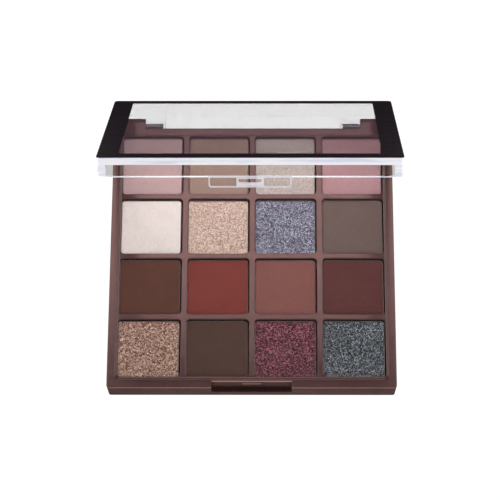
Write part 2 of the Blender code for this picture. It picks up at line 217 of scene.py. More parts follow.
# Camera and studio
CAMERA_LENS = 191.88
CAMERA_SENSOR = 36.0
CAMERA_ELEVATION = radians(63.22)
CAMERA_YAW = radians(-1.25)
CAMERA_ROLL = radians(-1.10)
CAMERA_DISTANCE = 930 * MM
CAMERA_RIGHT = -0.74 * MM
CAMERA_UP = 2.03 * MM
FLOOR_SIZE = 4.0
FLOOR_BEHIND = (44 * MM, 52 * MM)
FLOOR_BESIDE = (66 * MM, 80 * MM)
LAMP_TARGET = Vector((0.0, 0.0, 0.0))
ROOM_GLOW = 0.065
WHITE = (1.0, 1.0, 1.0)
SIDE_TINT = (0.88, 0.97, 1.0)

random.seed(16)


# ---------------------------------------------------------------- node helpers

def linear(srgb):
    """An sRGB colour of 0 to 255 as the linear colour that a shader takes."""
    channels = []
    for value in srgb:
        share = value / 255
        channels.append(share / 12.92 if share <= 0.04045 else ((share + 0.055) / 1.055) ** 2.4)
    return (*channels, 1.0)


class Nodes:
    """A material with its Principled shader, and short ways to add nodes to it."""

    def __init__(self, name):
        self.material = bpy.data.materials.new(name)
        self.material.use_nodes = True
        self.tree = self.material.node_tree
        self.shader = self.tree.nodes["Principled BSDF"]
        self.place = self.add("ShaderNodeTexCoord").outputs["Object"]

    def add(self, kind, **settings):
        node = self.tree.nodes.new(kind)
        for key, value in settings.items():
            setattr(node, key, value)
        return node

    def link(self, output, target):
        self.tree.links.new(output, target)

    def feed(self, sockets, values):
        """Each value, or the output it comes from, to its socket."""
        for socket, value in zip(sockets, values):
            if isinstance(value, bpy.types.NodeSocket):
                self.link(value, socket)
            else:
                socket.default_value = value

    def set(self, **values):
        """Plain values on the shader's own sockets; underscores stand for spaces."""
        for key, value in values.items():
            self.shader.inputs[key.replace("_", " ")].default_value = value

    def noise(self, scale_mm, detail=2.0, roughness=0.5, place=None):
        """Noise whose features are about scale_mm across."""
        node = self.add("ShaderNodeTexNoise")
        node.inputs["Scale"].default_value = 1 / (scale_mm * MM)
        node.inputs["Detail"].default_value = detail
        node.inputs["Roughness"].default_value = roughness
        self.link(place or self.place, node.inputs["Vector"])
        return node.outputs["Fac"]

    def cells(self, scale_mm, place=None):
        """Voronoi cells about scale_mm across: (random colour, distance from the centre)."""
        node = self.add("ShaderNodeTexVoronoi")
        node.inputs["Scale"].default_value = 1 / (scale_mm * MM)
        self.link(place or self.place, node.inputs["Vector"])
        return node.outputs["Color"], node.outputs["Distance"]

    def stretched(self, along_x):
        """Object coordinates in which noise is drawn out along x; along_x is its scale there."""
        node = self.add("ShaderNodeMapping")
        node.inputs["Scale"].default_value = (along_x, 1.0, 1.0)
        self.link(self.place, node.inputs["Vector"])
        return node.outputs["Vector"]

    def channel(self, colour, name):
        """One channel of a random colour, as a random number."""
        node = self.add("ShaderNodeSeparateColor")
        self.link(colour, node.inputs["Color"])
        return node.outputs[name]

    def rare(self, value, share):
        """White for the highest share of a random value, black for the rest."""
        return self.ramp(value, ((0.0, (0, 0, 0, 1)), (1 - share, (1, 1, 1, 1))), steps=True)

    def ramp(self, value, stops, steps=False):
        """A colour ramp of (position, colour) stops."""
        node = self.add("ShaderNodeValToRGB")
        bar = node.color_ramp
        bar.interpolation = "CONSTANT" if steps else "LINEAR"
        while len(bar.elements) < len(stops):
            bar.elements.new(0.5)
        for element, (position, colour) in zip(bar.elements, stops):
            element.position = position
            element.color = colour
        self.link(value, node.inputs["Fac"])
        return node.outputs["Color"]

    def spread(self, value, low, high, start=0.3, end=0.7):
        """The value's middle range start..end carried to low..high."""
        node = self.add("ShaderNodeMapRange")
        self.link(value, node.inputs["Value"])
        for key, number in (("From Min", start), ("From Max", end), ("To Min", low), ("To Max", high)):
            node.inputs[key].default_value = number
        return node.outputs["Result"]

    def mix(self, factor, first, second, blend="MIX"):
        """Two colours mixed; each input is a value or another node's output."""
        node = self.add("ShaderNodeMix", data_type="RGBA", blend_type=blend)
        self.feed((node.inputs[0], *node.inputs[6:8]), (factor, first, second))
        return node.outputs[2]

    def choose(self, factor, first, second):
        """One number or the other, by a factor of 0 or 1."""
        node = self.add("ShaderNodeMix", data_type="FLOAT")
        self.feed((node.inputs[0], *node.inputs[2:4]), (factor, first, second))
        return node.outputs[0]

    def math(self, operation, first, second=0.0):
        node = self.add("ShaderNodeMath", operation=operation)
        self.feed(node.inputs, (first, second))
        return node.outputs[0]

    def bump(self, height, distance_mm, before=None):
        node = self.add("ShaderNodeBump")
        node.inputs["Distance"].default_value = distance_mm * MM
        node.inputs["Strength"].default_value = 1.0
        self.link(height, node.inputs["Height"])
        if before is not None:
            self.link(before, node.inputs["Normal"])
        return node.outputs["Normal"]

    def tilted(self, share, chance):
        """A normal leant by a share of the random colour."""
        node = self.add("ShaderNodeNormalMap", space="OBJECT")
        self.link(self.mix(share, (0.5, 0.5, 1.0, 1.0), chance), node.inputs["Color"])
        return node.outputs["Normal"]

    def drive(self, socket, output):
        self.link(output, self.shader.inputs[socket])

    def let_through(self, share, tint):
        """Let a share of the light pass straight through; share is a value or an output."""
        passing = self.add("ShaderNodeBsdfTransparent")
        passing.inputs["Color"].default_value = linear(tint)
        chosen = self.add("ShaderNodeMixShader")
        self.feed(chosen.inputs, (share, self.shader.outputs["BSDF"], passing.outputs["BSDF"]))
        self.link(chosen.outputs["Shader"], self.tree.nodes["Material Output"].inputs["Surface"])


# ---------------------------------------------------------------- materials

def moulded_plastic(name, srgb, roughness):
    """Satin moulded plastic: faint flow marks and a fine moulded grain."""
    made = Nodes(name)
    base = linear(srgb)
    darker = linear([value * 0.93 for value in srgb])
    lighter = linear([value * 1.05 for value in srgb])
    flow = made.noise(9.0, detail=3.0)
    colour = made.ramp(flow, ((0.3, darker), (0.5, base), (0.75, lighter)))
    made.drive("Base Color", colour)
    grain = made.noise(0.22, detail=3.0, roughness=0.6)
    made.drive("Roughness", made.spread(grain, roughness - 0.03, roughness + 0.04))
    made.drive("Normal", made.bump(grain, 0.006))
    made.set(IOR=1.5, Specular_Tint=linear((255, 196, 191)))
    return made.material


def clear_plastic():
    """Polished clear styrene with the faintest cast, which lets the studio's light through."""
    made = Nodes("clear_plastic")
    cast = made.noise(14.0, detail=2.0)
    colour = made.ramp(cast, ((0.3, linear((250, 251, 250))), (0.7, linear((252, 253, 252)))))
    made.drive("Base Color", colour)
    made.set(Roughness=0.0, Transmission_Weight=1.0, IOR=1.49)
    made.let_through(made.add("ShaderNodeLightPath").outputs["Is Shadow Ray"], (246, 246, 248))
    return made.material


def clear_back():
    """The lid's thin back wall and lugs, which hardly bend the view."""
    made = Nodes("clear_back")
    haze = made.noise(6.0)
    made.drive("Roughness", made.spread(haze, 0.05, 0.12))
    made.set(Base_Color=linear((252, 252, 252)), Transmission_Weight=1.0, IOR=1.49)
    made.let_through(0.96, (254, 254, 254))
    return made.material


def painted_glow_plastic(name, glow, seen_through):
    """Painted glow where the lid is solid behind its front face: an emitting lilac-white coat for piped
    light.

    From its rear side it is fully clear; seen_through is how clear it is from the front.
    """
    made = Nodes(name)
    painted_streaks = made.noise(1.1, detail=2.0, place=made.stretched(0.06))
    colour = made.ramp(painted_streaks, ((0.34, linear((212, 212, 228))), (0.5, linear((234, 233, 238)))))
    made.drive("Base Color", colour)
    made.drive("Emission Color", colour)
    made.set(Roughness=0.3, Emission_Strength=glow, IOR=1.49)
    rear = made.add("ShaderNodeNewGeometry").outputs["Backfacing"]
    made.let_through(made.math("MAXIMUM", rear, seen_through), (255, 255, 255))
    return made.material


def border_print():
    """Nearly even black print; most of the lamps' light passes through it to the tray."""
    made = Nodes("border_print")
    mottle = made.noise(1.6, detail=4.0)
    colour = made.ramp(mottle, ((0.3, linear((18, 14, 17))), (0.7, linear((22, 17, 21)))))
    made.drive("Base Color", colour)
    made.drive("Roughness", made.spread(made.noise(3.0), 0.42, 0.52))
    made.set(IOR=1.45, Specular_IOR_Level=0.045)
    shadow = made.add("ShaderNodeLightPath").outputs["Is Shadow Ray"]
    made.let_through(made.math("MULTIPLY", shadow, 0.75), (255, 255, 255))
    return made.material


def bright_metal(name, srgb, roughness):
    """Drawn sheet or wire, with faint streaks."""
    made = Nodes(name)
    streaks = made.noise(0.12, detail=3.0, place=made.stretched(0.15))
    darker = linear([value * 0.86 for value in srgb])
    made.drive("Base Color", made.ramp(streaks, ((0.3, darker), (0.7, linear(srgb)))))
    made.drive("Roughness", made.spread(streaks, roughness, roughness + 0.15))
    made.drive("Normal", made.bump(streaks, 0.004))
    made.set(Metallic=1.0)
    return made.material


def cloudy_glue():
    """A dab of pale, slightly translucent glue."""
    made = Nodes("glue")
    cloud = made.noise(1.5, detail=3.0)
    colour = made.ramp(cloud, ((0.3, linear((196, 188, 170))), (0.7, linear((222, 214, 198)))))
    made.drive("Base Color", colour)
    made.drive("Normal", made.bump(cloud, 0.05))
    made.set(Roughness=0.45, Subsurface_Weight=0.2)
    return made.material


def matte_powder(name, srgb):
    """Pressed matte powder, fine grained and softly mottled: (coat, surface)."""
    made = Nodes(name)
    dark = linear([value * 0.84 for value in srgb])
    light = linear([min(value * 1.11, 255) for value in srgb])
    grain = made.noise(0.16, detail=3.0, roughness=0.7)
    patch = made.noise(5.0, detail=2.0)
    both = made.math("ADD", made.math("MULTIPLY", grain, 0.9), made.math("MULTIPLY", patch, 0.1))
    made.drive("Base Color", made.ramp(both, ((0.36, dark), (0.5, linear(srgb)), (0.64, light))))
    made.drive("Normal", made.bump(grain, 0.02))
    made.set(Roughness=0.95, Specular_IOR_Level=0.12)
    return made.material, FINE


def shimmer_powder(name, srgb, flake_srgb, flake_mm, share):
    """Pressed shimmer, fine flakes that catch the light among a soft base: (coat, surface)."""
    made = Nodes(name)
    dark = linear([value * 0.86 for value in srgb])
    grain = made.noise(0.2, detail=3.0, roughness=0.7)
    ground = made.ramp(grain, ((0.35, dark), (0.62, linear(srgb))))
    chance, _ = made.cells(flake_mm)
    is_flake = made.rare(made.channel(chance, "Red"), share)
    made.drive("Base Color", made.mix(is_flake, ground, linear(flake_srgb)))
    made.drive("Metallic", made.math("MULTIPLY", is_flake, 0.6))
    made.drive("Normal", made.bump(grain, 0.02, before=made.tilted(0.16, chance)))
    made.set(Roughness=0.42, Specular_IOR_Level=0.5)
    return made.material, FINE


def glitter_powder(name, dark, base, light, accent, sparkle, tilt=0.3):
    """Coarse pressed glitter, each flake with its own shade and lean: (coat, surface)."""
    flake_mm = 0.36
    made = Nodes(name)
    warp = made.noise(flake_mm * 1.6, detail=2.0)
    shifted = made.add("ShaderNodeVectorMath", operation="ADD")
    offset = made.add("ShaderNodeVectorMath", operation="SCALE")
    offset.inputs["Scale"].default_value = flake_mm * 0.4 * MM
    made.link(warp, offset.inputs[0])
    made.feed(shifted.inputs, (made.place, offset.outputs[0]))
    chance, distance = made.cells(flake_mm, place=shifted.outputs[0])
    stops = ((0.0, linear(dark)), (0.26, linear(base)), (0.68, linear(light)), (0.88, linear(accent)))
    flakes = made.ramp(made.channel(chance, "Red"), stops, steps=True)
    fine_chance, _ = made.cells(flake_mm * 0.45, place=shifted.outputs[0])
    shade = made.spread(made.channel(fine_chance, "Green"), 0.72, 1.16, 0.0, 1.0)
    colour = made.mix(1.0, flakes, shade, blend="MULTIPLY")
    is_sparkle = made.rare(made.channel(fine_chance, "Blue"), 0.07)
    made.drive("Base Color", made.mix(is_sparkle, colour, linear(sparkle)))
    depth = made.math("SUBTRACT", 1.0, distance)
    made.drive("Normal", made.bump(depth, 0.05, before=made.tilted(tilt, chance)))
    made.set(Metallic=0.5, Roughness=0.35)
    return made.material, COARSE


# ---------------------------------------------------------------- mesh building

def add_object(name, mesh_data, coat=None):
    """A new object from a bmesh, with its faces turned outwards."""
    bmesh.ops.recalc_face_normals(mesh_data, faces=mesh_data.faces)
    mesh = bpy.data.meshes.new(name)
    mesh_data.to_mesh(mesh)
    mesh_data.free()
    mesh.shade_smooth()
    mesh.set_sharp_from_angle(angle=SHARP_ANGLE)
    made = bpy.data.objects.new(name, mesh)
    bpy.context.scene.collection.objects.link(made)
    if coat is not None:
        mesh.materials.append(coat)
    return made


def rounded_outline(half_x, half_y, corner, centre, steps, side_steps=1):
    """A rectangle with round corners, anticlockwise, its straight sides cut into side_steps."""
    turns = ((1, 1), (-1, 1), (-1, -1), (1, -1))
    outline = []
    for quarter, (side_x, side_y) in enumerate(turns):
        for step in range(steps + 1):
            angle = (quarter + step / steps) * pi / 2
            x = centre[0] + side_x * (half_x - corner) + corner * cos(angle)
            y = centre[1] + side_y * (half_y - corner) + corner * sin(angle)
            outline.append((x, y))
        next_x, next_y = turns[(quarter + 1) % 4]
        angle = (quarter + 1) * pi / 2
        end_x = centre[0] + next_x * (half_x - corner) + corner * cos(angle)
        end_y = centre[1] + next_y * (half_y - corner) + corner * sin(angle)
        for step in range(1, side_steps):
            share = step / side_steps
            outline.append((x + (end_x - x) * share, y + (end_y - y) * share))
    return outline


def fillet(centre_inset, centre_z, radius, start, end, steps=FILLET_STEPS):
    """A rounded edge in a wall's profile, as (inset, height) points."""
    points = []
    for step in range(steps + 1):
        angle = radians(start + (end - start) * step / steps)
        points.append((centre_inset + radius * cos(angle), centre_z + radius * sin(angle)))
    return points


def rings(half_x, half_y, corner, profile, centre=(0.0, 0.0), steps=CORNER_STEPS, side_steps=1):
    """The profile carried round a rounded rectangle: one ring of points for each profile point."""
    made = []
    for inset, z in profile:
        ring_corner = max(corner - inset, SMALLEST_CORNER)
        outline = rounded_outline(half_x - inset, half_y - inset, ring_corner, centre, steps, side_steps)
        made.append([(x, y, z) for x, y in outline])
    return made


def add_rings(mesh_data, ring_list, closed=False):
    """Skin between the rings, with a cap at each end, or a closed loop of rings."""
    loops = []
    for ring in ring_list:
        loops.append([mesh_data.verts.new(point) for point in ring])
    pairs = list(zip(loops, loops[1:]))
    if closed:
        pairs.append((loops[-1], loops[0]))
    for lower, upper in pairs:
        count = len(lower)
        for index in range(count):
            follower = (index + 1) % count
            mesh_data.faces.new((lower[index], lower[follower], upper[follower], upper[index]))
    if not closed:
        mesh_data.faces.new(reversed(loops[0]))
        mesh_data.faces.new(loops[-1])


def turned(name, ring_list, coat=None, closed=False):
    """A solid skinned over rings."""
    mesh_data = bmesh.new()
    add_rings(mesh_data, ring_list, closed)
    return add_object(name, mesh_data, coat)


def prism(name, outline, span, axis, offsets=((0.0, 0.0, 0.0),)):
    """An outline pushed along an axis: (y, z) points along x, (x, z) points along y."""
    mesh_data = bmesh.new()
    for offset in offsets:
        ends = []
        for depth in span:
            if axis == "x":
                points = [(depth, first, second) for first, second in outline]
            else:
                points = [(first, depth, second) for first, second in outline]
            ends.append([tuple(Vector(point) + Vector(offset)) for point in points])
        add_rings(mesh_data, ends)
    return add_object(name, mesh_data)


def both_sides(name, outline, inner, outer):
    """A prism along x on the right and its mirror image on the left."""
    mesh_data = bmesh.new()
    for span in ((inner, outer), (-outer, -inner)):
        add_rings(mesh_data, [[(x, y, z) for y, z in outline] for x in span])
    return add_object(name, mesh_data)


def tongue_outline(half, low, high, corner):
    """A tongue seen from the front: square above, with its two lower corners rounded."""
    points = []
    for side, start in ((-1, 180), (1, 270)):
        for step in range(TONGUE_STEPS + 1):
            angle = radians(start + 90 * step / TONGUE_STEPS)
            x = side * (half - corner) + corner * cos(angle)
            points.append((x, low + corner + corner * sin(angle)))
    return points + [(half, high), (-half, high)]


def circle(centre, radius):
    points = []
    for step in range(ROUND_STEPS):
        angle = 2 * pi * step / ROUND_STEPS
        points.append((centre[0] + radius * cos(angle), centre[1] + radius * sin(angle)))
    return points


def cut(target, helper, operation):
    """A Boolean applied at once; its operand goes away."""
    boolean = target.modifiers.new("cut", "BOOLEAN")
    boolean.operation = operation
    boolean.object = helper
    boolean.solver = "EXACT"
    settle(target)
    bpy.data.objects.remove(helper)


def settle(target):
    """The object's mesh as its modifiers leave it."""
    bpy.context.view_layer.update()
    evaluated = target.evaluated_get(bpy.context.evaluated_depsgraph_get())
    mesh = bpy.data.meshes.new_from_object(evaluated)
    target.modifiers.clear()
    old = target.data
    target.data = mesh
    bpy.data.meshes.remove(old)
    mesh.name = target.name


def soften(target, width):
    """Round every sharp edge a little, as a mould does."""
    mesh_data = bmesh.new()
    mesh_data.from_mesh(target.data)
    bmesh.ops.remove_doubles(mesh_data, verts=mesh_data.verts, dist=0.002 * MM)
    bmesh.ops.dissolve_limit(
        mesh_data,
        angle_limit=radians(0.5),
        verts=mesh_data.verts,
        edges=mesh_data.edges,
        delimit={"MATERIAL"},
    )
    mesh_data.to_mesh(target.data)
    mesh_data.free()
    bevel = target.modifiers.new("soften", "BEVEL")
    bevel.width = width
    bevel.segments = BEVEL_SEGMENTS
    bevel.limit_method = "ANGLE"
    bevel.angle_limit = BEVEL_ANGLE
    bevel.use_clamp_overlap = True
    settle(target)
    target.data.shade_smooth()
    target.data.set_sharp_from_angle(angle=SHARP_ANGLE)
    weighted = target.modifiers.new("weighted", "WEIGHTED_NORMAL")
    weighted.keep_sharp = True
    settle(target)


def well_centres():
    """(row, column, x, y) of each well, from the back row to the front row, left to right."""
    for row in range(ROWS):
        for column in range(COLUMNS):
            centre = centre_of(f"pan_row{row + 1}_col{column + 1}")
            yield row, column, centre.x, centre.y


def place_piece(piece, body, node):
    """Say which body a piece rides, and hide the node it stands for."""
    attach(piece, body)
    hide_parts(node)


# ---------------------------------------------------------------- case

def ear_outline():
    """Side view of a hinge ear: a block off the back wall with a round end on the hinge axis."""
    points = [(CASE_HALF_Y - EAR_ROOT, HINGE.z - EAR_RADIUS)]
    for step in range(ROUND_STEPS // 2 + 1):
        angle = -pi / 2 + pi * step / (ROUND_STEPS // 2)
        points.append((HINGE.y + EAR_RADIUS * cos(angle), HINGE.z + EAR_RADIUS * sin(angle)))
    points.append((CASE_HALF_Y - EAR_ROOT, HINGE.z + EAR_RADIUS))
    return points


def catch_outline():
    """Side view of the ridge on the recess's back wall that the hook passes."""
    root = RECESS_BACK + BITE / 2
    points = [(root, CATCH_LOW + CATCH_HEIGHT), (root, CATCH_LOW)]
    for step in range(13):
        angle = pi * step / 12
        z = CATCH_LOW + CATCH_HEIGHT / 2 - CATCH_HEIGHT / 2 * cos(angle)
        points.append((RECESS_BACK - CATCH_DEPTH * sin(angle), z))
    return points


def paint_edge_highlights(case, highlight_coat):
    """Painted highlight: the rounded front rim and the latch recess's edges, catch and lip get a lighter
    coat.
    """
    case.data.materials.append(highlight_coat)
    for face in case.data.polygons:
        x, y, z = face.center
        on_rim = y < RECESS_BACK + EDGE_CUT and z > RIM_HEIGHT - EDGE_CUT - RIM_RADIUS
        on_lip = abs(x) < RECESS_HALF and y < LID_FRONT + LIP_DEPTH and FOOT_RADIUS < z < RECESS_FLOOR + SLACK
        on_catch = abs(x) < CATCH_HALF + SLACK and RECESS_BACK - CATCH_DEPTH < y < RECESS_BACK - SLACK
        sloping = 0.2 < face.normal.z < 0.97
        if sloping and (on_rim or on_catch or on_lip):
            face.material_index = PAINTED_LIGHT_INDEX


def make_case(coat, highlight_coat):
    """The tub with its ribs, hinge ears and latch recess."""
    foot = fillet(CASE_DRAFT + FOOT_RADIUS, FOOT_RADIUS, FOOT_RADIUS, 270, 180)
    rim = fillet(RIM_RADIUS, RIM_HEIGHT - RIM_RADIUS, RIM_RADIUS, 180, 90)
    outer = rings(CASE_HALF_X, CASE_HALF_Y, CASE_CORNER, foot + rim)
    cavity = TRAY_HALF + TRAY_GAP
    floor = fillet(INNER_RADIUS, CASE_FLOOR + INNER_RADIUS, INNER_RADIUS, 180, 270)
    inner = rings(cavity, cavity, TRAY_CORNER + TRAY_GAP, [(0.0, RIM_HEIGHT)] + floor)
    case = turned("case_shell", outer + inner, coat)
    reach = TRAY_HALF - INNER_RADIUS
    low = CASE_FLOOR - BITE
    side = RIB_WIDTH / 2
    upright = [(-side, low), (side, low), (side, RIB_TOP), (-side, RIB_TOP)]
    places = [(index - COLUMNS / 2) * PITCH for index in range(1, COLUMNS)]
    cut(case, prism("ribs", upright, (-reach, reach), "y", [(x, 0.0, 0.0) for x in places]), "UNION")
    cut(case, prism("ribs", upright, (-reach, reach), "x", [(0.0, y, 0.0) for y in places]), "UNION")
    cut(case, both_sides("ears", ear_outline(), EAR_INNER, EAR_OUTER), "UNION")
    recess_front = tongue_outline(RECESS_HALF, RECESS_FLOOR, TRAY_TOP, RECESS_CORNER)
    cut(case, prism("recess", recess_front, (LID_FRONT - BITE, RECESS_BACK), "y"), "DIFFERENCE")
    chamfer = [
        (RECESS_BACK - BITE, RIM_HEIGHT + BITE),
        (RECESS_BACK + EDGE_CUT + BITE, RIM_HEIGHT + BITE),
        (RECESS_BACK - BITE, RIM_HEIGHT - EDGE_CUT - BITE),
    ]
    cut(case, prism("recess_edge", chamfer, (-RECESS_HALF, RECESS_HALF), "x"), "DIFFERENCE")
    cut(case, prism("catch", catch_outline(), (-CATCH_HALF, CATCH_HALF), "x"), "UNION")
    hole = circle((HINGE.y, HINGE.z), HOLE_RADIUS)
    cut(case, both_sides("holes", hole, EAR_INNER - BITE, EAR_INNER + HOLE_DEPTH), "DIFFERENCE")
    soften(case, EDGE_RADIUS)
    paint_edge_highlights(case, highlight_coat)
    place_piece(case, "base", "case")


# ---------------------------------------------------------------- tray

def make_tray(coat):
    """The plate with sixteen wells; every edge that shows is rolled."""
    shoulder = []
    for step in range(COVE_STEPS + 1):
        share = step / COVE_STEPS
        drop = (TRAY_TOP - RIM_HEIGHT) * (1 - cos(pi * share)) / 2
        shoulder.append((COVE * (1 - share), TRAY_TOP - drop))
    outside = [(0.0, TRAY_SKIRT)] + shoulder[::-1]
    corner = TRAY_CORNER + TRAY_EDGE - TRAY_HALF
    tray = turned("tray_plate", rings(TRAY_EDGE, TRAY_EDGE, corner, outside), coat)
    half = WELL_SIZE / 2
    pocket = [(-POCKET_WALL, WELL_FLOOR - POCKET_FLOOR), (-POCKET_WALL, TRAY_TOP - SHOULDER)]
    floor = fillet(INNER_RADIUS, WELL_FLOOR + INNER_RADIUS, INNER_RADIUS, 270, 180)
    lip = fillet(-WELL_EDGE, TRAY_TOP - WELL_EDGE, WELL_EDGE, 0, 86)
    well = floor + lip + [(-WELL_EDGE, TRAY_TOP + BITE)]
    pockets = bmesh.new()
    wells = bmesh.new()
    for _, _, x, y in well_centres():
        add_rings(pockets, rings(half, half, WELL_CORNER, pocket, (x, y)))
        add_rings(wells, rings(half, half, WELL_CORNER, well, (x, y)))
    cut(tray, add_object("pockets", pockets), "UNION")
    cut(tray, add_object("wells", wells), "DIFFERENCE")
    soften(tray, EDGE_RADIUS / 2)
    place_piece(tray, "base", "pan_tray")


# ---------------------------------------------------------------- pans and powder

def make_pan(place, centre, coat):
    """A drawn tin pan with a rolled lip."""
    lip = PAN_WALL / 2
    foot = fillet(PAN_FOOT, PAN_BOTTOM + PAN_FOOT, PAN_FOOT, 270, 180)
    top = fillet(lip, PAN_TOP - lip, lip, 180, 0, steps=8)
    inside = fillet(PAN_WALL + PAN_FOOT, PAN_BOTTOM + PAN_WALL + PAN_FOOT, PAN_FOOT, 180, 270)
    ring_list = rings(PAN_HALF, PAN_HALF, PAN_CORNER, foot + top + inside, centre, 6)
    pan = turned(f"tin_{place}", ring_list, coat)
    place_piece(pan, "base", f"pan_{place}")


def standing(x, y, size, seed):
    """Smooth noise between about -1 and 1 with features of a given size."""
    return noise.noise(Vector((x / size, y / size, seed)))


def make_powder(place, centre, coat, seed, surface):
    """A pressed cake: a slightly dished, uneven top and a softened edge with small chips."""
    half = POWDER_HALF
    height = PAN_TOP - POWDER_DROP
    edge = fillet(POWDER_EDGE, height - POWDER_EDGE, POWDER_EDGE, 180, 90, steps=4)
    insets = int((half - POWDER_EDGE) / surface.spacing)
    top = [(POWDER_EDGE + surface.spacing * (index + 0.6), height) for index in range(insets)]
    side_steps = int(2 * half / surface.spacing)
    profile = [(0.0, POWDER_BOTTOM)] + edge + top
    ring_list = rings(half, half, POWDER_CORNER, profile, centre, 5, side_steps)
    shaped = []
    for (inset, _), ring in zip(profile, ring_list):
        points = []
        for x, y, z in ring:
            reach_x = (x - centre[0]) / half
            reach_y = (y - centre[1]) / half
            chip = max(0.0, standing(x, y, CHIP_SIZE, seed + 9)) * surface.crumble
            near_edge = max(0.0, 1 - inset / (3 * POWDER_EDGE))
            if z > POWDER_BOTTOM + POWDER_EDGE:
                z += SWELL * standing(x, y, SWELL_SIZE, seed)
                z += surface.grain * standing(x, y, surface.grain_size, seed + 40)
                z -= chip * near_edge * CHIP_DEPTH
                z -= POWDER_DISH * (1 - reach_x * reach_x) * (1 - reach_y * reach_y)
            x -= reach_x * chip * near_edge
            y -= reach_y * chip * near_edge
            points.append((x, y, z))
        shaped.append(points)
    cake = turned(f"cake_{place}", shaped, coat)
    place_piece(cake, "base", f"powder_{place}")


def powder_shades():
    """The sixteen shades as (coat, surface), from the back row to the front row, left to right."""
    return (
        (
            matte_powder("powder_dusty_pink", (174, 142, 141)),
            matte_powder("powder_taupe", (141, 114, 103)),
            shimmer_powder("powder_champagne", (149, 130, 124), (174, 157, 149), 0.22, 0.35),
            matte_powder("powder_rose_satin", (161, 121, 123)),
        ),
        (
            matte_powder("powder_cream", (213, 197, 191)),
            glitter_powder(
                "powder_peach_gold", (136, 105, 88), (159, 133, 122), (170, 149, 140), (148, 112, 91),
                (181, 166, 158), tilt=0.14,
            ),
            glitter_powder(
                "powder_blue_grey", (69, 64, 77), (105, 101, 116), (141, 138, 155), (86, 61, 70),
                (194, 196, 207),
            ),
            matte_powder("powder_grey_taupe", (100, 81, 76)),
        ),
        (
            matte_powder("powder_dark_brown", (88, 56, 47)),
            matte_powder("powder_brick", (114, 54, 48)),
            matte_powder("powder_terracotta", (119, 75, 69)),
            matte_powder("powder_burgundy_brown", (87, 51, 49)),
        ),
        (
            glitter_powder(
                "powder_bronze", (100, 62, 48), (156, 119, 102), (178, 146, 132), (124, 81, 63),
                (196, 170, 154),
            ),
            matte_powder("powder_dark_taupe", (77, 56, 49)),
            glitter_powder(
                "powder_burgundy", (34, 8, 15), (80, 30, 40), (136, 68, 81), (62, 17, 26),
                (190, 124, 137),
            ),
            glitter_powder(
                "powder_teal_grey", (21, 22, 24), (55, 56, 60), (112, 114, 119), (47, 61, 63),
                (187, 186, 194),
            ),
        ),
    )


def make_pans(tin):
    """The pans with their cakes, each a hair off its neighbours' line."""
    shades = powder_shades()
    for row, column, x, y in well_centres():
        place = f"row{row + 1}_col{column + 1}"
        loose_x = random.uniform(-PAN_LOOSE, PAN_LOOSE)
        loose_y = random.uniform(-PAN_LOOSE, PAN_LOOSE)
        centre = (x + PAN_SHIFT.x + loose_x, y + PAN_SHIFT.y + loose_y)
        make_pan(place, centre, tin)
        coat, surface = shades[row][column]
        make_powder(place, centre, coat, row * COLUMNS + column, surface)


def make_pins(coat):
    """Two steel pins with rounded ends, pressed into the ears, that the lid's lugs turn on."""
    rounding = []
    for step in range(PIN_ROUND_STEPS + 1):
        angle = radians(90 * step / PIN_ROUND_STEPS)
        rounding.append((PIN_ROUND * (1 - cos(angle)), PIN_ROUND * (1 - sin(angle))))
    for name in ("left", "right"):
        low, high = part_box(f"hinge_pin_{name}")
        profile = [(low[0] + along, inset) for along, inset in rounding]
        profile += [(high[0] - along, inset) for along, inset in reversed(rounding)]
        ring_list = []
        for x, inset in profile:
            ring_list.append([(x, y, z) for y, z in circle((HINGE.y, HINGE.z), PIN_RADIUS - inset)])
        place_piece(turned(f"pin_{name}", ring_list, coat), "base", f"hinge_pin_{name}")


# ---------------------------------------------------------------- lid

def swing_open(made):
    """Carry a piece modelled shut round the hinge to where the lid stands."""
    turn = Matrix.Rotation(-LID_OPEN_ANGLE, 4, "X")
    made.data.transform(Matrix.Translation(HINGE) @ turn @ Matrix.Translation(-HINGE))


def lug_outline():
    """Side view of a lid lug, shut: a round eye on the hinge axis and a web up to the back wall."""
    points = []
    steps = ROUND_STEPS * 3 // 4
    for step in range(steps + 1):
        angle = pi / 2 + 2 * pi * step / ROUND_STEPS
        points.append((HINGE.y + LUG_RADIUS * cos(angle), HINGE.z + LUG_RADIUS * sin(angle)))
    points.append((LID_BACK - LID_EDGE_RADIUS, LID_RIM - LUG_WEB / 2))
    points.append((LID_BACK - LID_EDGE_RADIUS, LID_RIM + LUG_WEB))
    points.append((LID_BACK - LUG_WEB, LID_RIM + LUG_WEB))
    return points


def hook_outline():
    """Side view of the hook on the tab's inner face: flat above, sloping below."""
    root = LID_FRONT + TAB_THICKNESS
    low = TAB_BOTTOM + HOOK_HEIGHT / 4
    high = TAB_BOTTOM + HOOK_HEIGHT
    points = [(root - BITE, low), (root, low)]
    reach = HOOK_TIP - root
    for step in range(HOOK_STEPS + 1):
        angle = radians(90 * step / HOOK_STEPS)
        points.append((root + reach * sin(angle), low + (high - low) * HOOK_ROUND * (1 - cos(angle))))
    return points + [(HOOK_TIP, high), (root - BITE, high)]


